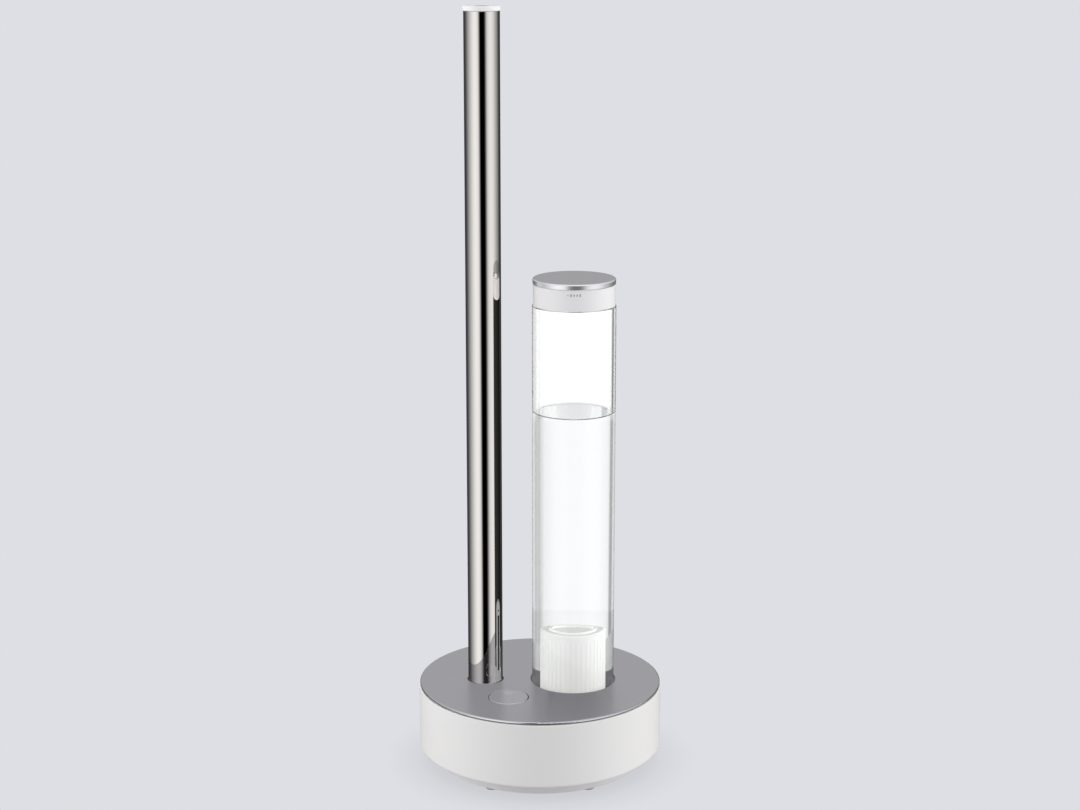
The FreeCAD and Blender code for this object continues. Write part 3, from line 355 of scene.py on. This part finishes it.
def rounded_outline(corners):
    """(radius, z, corner radius) points as a closed outline with its corners rounded."""
    outline = []
    for index, (r, z, fillet) in enumerate(corners):
        here = Vector((r, z))
        if fillet <= 0:
            outline.append((r, z))
            continue
        before = Vector(corners[index - 1][:2]) - here
        after = Vector(corners[(index + 1) % len(corners)][:2]) - here
        before.normalize()
        after.normalize()
        half = before.angle(after) / 2
        reach = fillet / math.tan(half)
        centre = here + (before + after).normalized() * (fillet / math.sin(half))
        start = (here + before * reach) - centre
        end = (here + after * reach) - centre
        outline.append(tuple(here + before * (reach + SUPPORT)))
        for step in range(CORNER_STEPS + 1):
            arm = start.slerp(end, step / CORNER_STEPS) * fillet
            outline.append(tuple(centre + arm))
        outline.append(tuple(here + after * (reach + SUPPORT)))
    return outline


def lathe(name, outline, x, y, material, body):
    """A piece turned about the vertical line at x, y from a closed outline of (radius, z) points."""
    verts, faces = [], []
    for step in range(ROUND_STEPS):
        angle = 2 * math.pi * step / ROUND_STEPS
        verts += [(x + r * math.cos(angle), y + r * math.sin(angle), z) for r, z in outline]
    count = len(outline)
    for step in range(ROUND_STEPS):
        here, there = step * count, (step + 1) % ROUND_STEPS * count
        for index in range(count):
            after = (index + 1) % count
            faces.append((here + index, there + index, there + after, here + after))
    mesh = bpy.data.meshes.new(name)
    mesh.from_pydata(verts, [], faces)
    return new_piece(name, mesh, material, body)


def new_piece(name, mesh, material, body):
    """Cleans and smooths a mesh, and makes it a piece that rides on a body."""
    work = bmesh.new()
    work.from_mesh(mesh)
    bmesh.ops.remove_doubles(work, verts=work.verts, dist=MERGE)
    bmesh.ops.dissolve_degenerate(work, dist=NO_LENGTH, edges=work.edges)
    bmesh.ops.recalc_face_normals(work, faces=work.faces)
    work.to_mesh(mesh)
    work.free()
    for face in mesh.polygons:
        face.use_smooth = True
    mesh.set_sharp_from_angle(angle=SHARP_ANGLE)
    mesh.materials.append(material)
    piece = bpy.data.objects.new(name, mesh)
    bpy.context.scene.collection.objects.link(piece)
    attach(piece, body)
    return piece


def axis_of(node):
    """The middle line, radius, low end and high end of an upright round node."""
    low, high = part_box(node)
    return (low.x + high.x) / 2, (low.y + high.y) / 2, (high.x - low.x) / 2, low.z, high.z


# ---- polished pipe --------------------------------------------------------------------------------
PIPE_WALL = 1.0 * MM
PIPE_LIP = 0.4 * MM          # rounding of the rolled lip at the top


def polished_pipe():
    x, y, outer, low, high = axis_of("mist_pipe")
    inner = outer - PIPE_WALL
    pipe = lathe("pipe_shell", rounded_outline([
        (inner, low, 0), (outer, low, 0), (outer, high, PIPE_LIP), (inner, high, PIPE_LIP),
    ]), x, y, made["pipe_chrome"], "pipe")
    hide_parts("mist_pipe")


# ---- clear tank and its water ---------------------------------------------------------------------
TANK_WALL = 4.8 * MM
NECK_R = 42.4 * MM           # the lid's skirt goes over this neck
LID_GAP = 0.3 * MM           # between the skirt and the shoulder under it
TANK_FOOT_ROUND = 0.3 * MM
TANK_ROUND = 0.5 * MM
WATER_LEVEL = 0.400          # above the floor
WATER_INTO_WALL = 0.2 * MM   # so that no air film shows between the water and the wall
WATER_FOOT = 3.1 * MM        # the water starts this far below the top of the tank's foot
MENISCUS = 1.8 * MM          # the water climbs the wall by this much
MENISCUS_WIDTH = 2.2         # times its height
MENISCUS_STEPS = (1.0, 0.9, 0.75, 0.55, 0.3, 0.0)


def casts_no_shade(piece):
    """Clear pieces neither cast a shadow nor dim the light on matt ones."""
    piece.visible_shadow = False
    piece.visible_diffuse = False


def tank_and_water():
    x, y, outer, low, high = axis_of("tank_tube")
    inner = outer - TANK_WALL
    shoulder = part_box("lid_skirt")[0].z - LID_GAP
    tube = lathe("tank_wall", rounded_outline([
        (inner, low, 0), (outer, low, TANK_FOOT_ROUND), (outer, shoulder, TANK_ROUND),
        (NECK_R, shoulder, 0), (NECK_R, high, TANK_ROUND), (inner, high, TANK_ROUND),
    ]), x, y, made["tank_clear"], "tank")
    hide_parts("tank_tube")
    casts_no_shade(tube)

    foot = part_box("tank_base")[1].z - WATER_FOOT
    edge = inner + WATER_INTO_WALL
    top = [(edge - MENISCUS * MENISCUS_WIDTH * (1 - share), WATER_LEVEL + MENISCUS * share ** 3)
           for share in MENISCUS_STEPS]
    water = lathe("water", [(0, foot), (edge, foot)] + top + [(0, WATER_LEVEL)],
                  x, y, made["water"], "tank")
    casts_no_shade(water)


# ---- spring under the button ----------------------------------------------------------------------
def button_coil():
    """A copy of the CAD spring, riding on the button."""
    x, y, radius, low, high = axis_of("button_spring")
    mesh = NODES["button_spring"].data.copy()
    mesh.transform(NODES["button_spring"].matrix_world)
    mesh.materials.clear()
    coil = new_piece("button_coil", mesh, made["spring_steel"], "button")
    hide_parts("button_spring")
    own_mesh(coil)


# ---- small plain marks on the front of the lid ----------------------------------------------------
MARKS = [   # degrees along the front, degrees wide, mm tall
    (-9.6, 1.6, 1.2), (-5.4, 2.2, 3.0), (-1.2, 2.0, 2.2), (3.0, 2.0, 2.2), (7.2, 2.2, 3.0),
]
MARKS_BELOW_TOP = 5.0 * MM
INK = 0.02 * MM              # how far the marks stand off the skirt
MARK_STEPS = 4               # facets across one mark


def lid_marks():
    x, y, radius, low, high = axis_of("lid_skirt")
    middle = high - MARKS_BELOW_TOP
    reach = radius + INK
    verts, faces = [], []
    for along, wide, tall in MARKS:
        first = len(verts)
        for step in range(MARK_STEPS + 1):
            angle = math.radians(along + wide * (step / MARK_STEPS - 0.5))
            for z in (middle - tall * MM / 2, middle + tall * MM / 2):
                verts.append((x + reach * math.sin(angle), y - reach * math.cos(angle), z))
        for corner in range(first, first + 2 * MARK_STEPS, 2):
            faces.append((corner, corner + 2, corner + 3, corner + 1))
    mesh = bpy.data.meshes.new("lid_marks")
    mesh.from_pydata(verts, [], faces)
    new_piece("lid_marks", mesh, made["mark_grey"], "lid")


# ---- camera ---------------------------------------------------------------------------------------
SENSOR = 36.0
LENS = 70.8
CAMERA_PLACE = (0.0, -2.25, 0.9348)
LOOK_DOWN = 13.19            # degrees below the horizon


def photo_camera():
    data = bpy.data.cameras.new("camera")
    data.sensor_width = SENSOR
    data.lens = LENS
    data.clip_start, data.clip_end = 0.05, 200.0
    camera = bpy.data.objects.new("camera", data)
    bpy.context.scene.collection.objects.link(camera)
    camera.location = CAMERA_PLACE
    camera.rotation_euler = (math.radians(90.0 - LOOK_DOWN), 0.0, 0.0)
    bpy.context.scene.camera = camera


# ---- studio ---------------------------------------------------------------------------------------
BACKDROP = (0.730, 0.737, 0.776)
FLOOR_HALF = 60.0
CONTACT_REACH = 0.05         # how far from the foot the floor darkens
CONTACT_SHADE = 0.80


def pale_floor():
    mesh = bpy.data.meshes.new("floor")
    half = FLOOR_HALF
    mesh.from_pydata([(-half, -half, 0), (half, -half, 0), (half, half, 0), (-half, half, 0)], [],
                     [(0, 1, 2, 3)])
    floor = bpy.data.objects.new("floor", mesh)
    bpy.context.scene.collection.objects.link(floor)
    material = bpy.data.materials.new("floor")
    graph = Graph(material)
    contact = graph.add("ShaderNodeAmbientOcclusion", {
        "Color": grey(1.0), "Distance": CONTACT_REACH}, samples=16)
    shade = graph.blend(contact.outputs["AO"], scaled(BACKDROP, CONTACT_SHADE), rgba(BACKDROP))
    glow = graph.add("ShaderNodeEmission", {"Color": shade})
    graph.finish("ShaderNodeOutputMaterial", glow.outputs[0])
    mesh.materials.append(material)
    floor.visible_glossy = False
    floor.visible_transmission = False


def stops_by_angle(pairs):
    """(degrees from the front, grey) pairs as stops of a ramp over the whole turn."""
    return [((degrees + 180.0) / 360.0, grey(value)) for degrees, value in pairs]


# The ramps below give a grey for each angle round the upright axis: 0 is the camera's side, 90 the
# right, and 180 behind. They were set one by one, until the render was as bright as the photograph.
BOXES = [   # what polished metal mirrors: softboxes left and right, black flags in front and behind
    (-180, 0.03), (-125, 0.06), (-112, 0.16), (-98, 0.32), (-80, 0.55), (-62, 0.80), (-47, 0.93),
    (-33, 0.88), (-26, 0.78), (-19, 0.47), (-13, 0.08), (-9, 0.0), (13, 0.0), (18, 0.014),
    (22, 0.09), (27, 0.30), (33, 0.57), (42, 0.77), (56, 0.85), (70, 0.79), (84, 0.61), (98, 0.40),
    (110, 0.29), (122, 0.12), (136, 0.04), (180, 0.03),
]
BEHIND_AIR = [   # what shows through the tank above the water: white, with a thin flag at each edge
    (-180, 1.0), (-155, 1.0), (-150, 0.86), (-139, 0.86), (-135, 1.0), (136, 1.0), (139, 0.30),
    (150, 0.30), (154, 1.0), (180, 1.0),
]
BEHIND_WATER = [   # the water turns the view round, so below its line the flags stand elsewhere
    (-180, 0.84), (-165, 0.83), (-150, 0.80), (-145, 0.76), (-141, 0.28), (-134, 0.28), (-130, 0.75),
    (-90, 0.80), (90, 0.80), (128, 0.75), (133, 0.44), (147, 0.44), (152, 0.70), (165, 0.79),
    (180, 0.84),
]
AMBIENT = [   # what lights the matt surfaces: bright sides and a darker front
    (-180, 0.70), (-135, 0.95), (-90, 1.0), (-45, 0.75), (-20, 0.02), (12, 0.02), (45, 0.82),
    (90, 1.0), (135, 0.95), (180, 0.70),
]
DOME = [(0.0, 0.50), (0.17, 0.56), (0.36, 0.66), (0.7, 0.84), (1.0, 0.90)]   # grey above, by height


def metal_surroundings(graph, share, rise, back, ray):
    """The softboxes, with the dome above them. back is how far a direction points to the rear."""
    boxes = graph.ramp(share, stops_by_angle(BOXES))
    dome = graph.ramp(rise, [(height, grey(value)) for height, value in DOME])

    # In front the dome starts higher, so that the pipe keeps its stripes in a level view.
    high = graph.remap(rise, 0.18, 0.24, 0.0, 1.0, smooth=True)
    low = graph.remap(rise, 0.02, 0.14, 0.0, 1.0, smooth=True)
    front = graph.remap(back, -0.35, 0.0, 1.0, 0.0, smooth=True)
    above = graph.blend(front, low, high, "FLOAT")
    mirrored = graph.blend(above, boxes, dome)

    # Metal seen in the pipe shows the softboxes and flags too, not the light above.
    twice = graph.math("GREATER_THAN", ray["Glossy Depth"], AFTER_ONE)
    mirrored = graph.blend(twice, mirrored, boxes)

    # The tank's image in the pipe is much darker than the tank, and in the disc a little.
    once = graph.math("SUBTRACT", above, twice, clamp=True)
    shade = graph.blend(once, grey(0.05), grey(0.72))
    through = graph.math("GREATER_THAN", ray["Transparent Depth"], AFTER_ONE)
    shade = graph.blend(through, grey(1.0), shade)
    return graph.blend(1.0, mirrored, shade, blend="MULTIPLY")


def tank_surroundings(graph, share, rise):
    """White behind the tank. A view that slopes down steeply enough is taken to be through water."""
    thin = graph.ramp(share, stops_by_angle(BEHIND_AIR))
    deep = graph.ramp(share, stops_by_angle(BEHIND_WATER))
    lower = graph.remap(rise, -0.236, -0.229, 1.0, 0.0)
    behind = graph.blend(lower, thin, deep)
    steep = graph.remap(rise, -0.60, -0.50, 1.0, 0.0)
    behind = graph.blend(steep, behind, grey(0.55))
    return graph.blend(1.0, behind, grey(1.22), blend="MULTIPLY")


def studio_world():
    """Each kind of ray meets its own surroundings; the camera sees the plain backdrop."""
    world = bpy.data.worlds.new("studio")
    bpy.context.scene.world = world
    graph = Graph(world)
    direction = graph.add("ShaderNodeTexCoord").outputs["Generated"]
    axes = graph.add("ShaderNodeSeparateXYZ", {0: direction}).outputs
    turn = graph.math("ARCTAN2", axes[0], graph.math("MULTIPLY", axes[1], -1.0))
    share = graph.math("ADD", graph.math("DIVIDE", turn, 2 * math.pi), 0.5)
    ray = graph.add("ShaderNodeLightPath").outputs
    mirrored = metal_surroundings(graph, share, axes[2], axes[1], ray)
    behind = tank_surroundings(graph, share, axes[2])
    ambient = graph.ramp(share, stops_by_angle(AMBIENT))
    ambient = graph.blend(1.0, ambient, grey(1.2), blend="MULTIPLY")
    colour = graph.blend(ray["Is Glossy Ray"], ambient, mirrored)
    colour = graph.blend(ray["Is Transmission Ray"], colour, behind)
    colour = graph.blend(ray["Is Camera Ray"], colour, rgba(BACKDROP))
    glow = graph.add("ShaderNodeBackground", {"Color": colour, "Strength": 1.0})
    graph.finish("ShaderNodeOutputWorld", glow.outputs[0])


SOFTBOX_SIZE = (1.2, 1.8)
SOFTBOX_TARGET = (0.0, 0.0, 0.35)


def softbox(name, place, watts):
    data = bpy.data.lights.new(name, "AREA")
    data.shape = "RECTANGLE"
    data.size, data.size_y = SOFTBOX_SIZE
    data.energy = watts
    light = bpy.data.objects.new(name, data)
    bpy.context.scene.collection.objects.link(light)
    light.location = place
    aim = Vector(SOFTBOX_TARGET) - Vector(place)
    light.rotation_euler = aim.to_track_quat("-Z", "Y").to_euler()
    light.visible_glossy = False
    light.visible_transmission = False


# ---- the whole scene ------------------------------------------------------------------------------
paint_the_cad_pieces()
polished_pipe()
tank_and_water()
button_coil()
lid_marks()
photo_camera()
pale_floor()
studio_world()
softbox("softbox_left", (-2.4, -0.9, 1.1), 22)
softbox("softbox_right", (2.4, -0.8, 1.1), 22.5)
scene = bpy.context.scene
scene.view_settings.view_transform = "Standard"
scene.view_settings.look = "None"
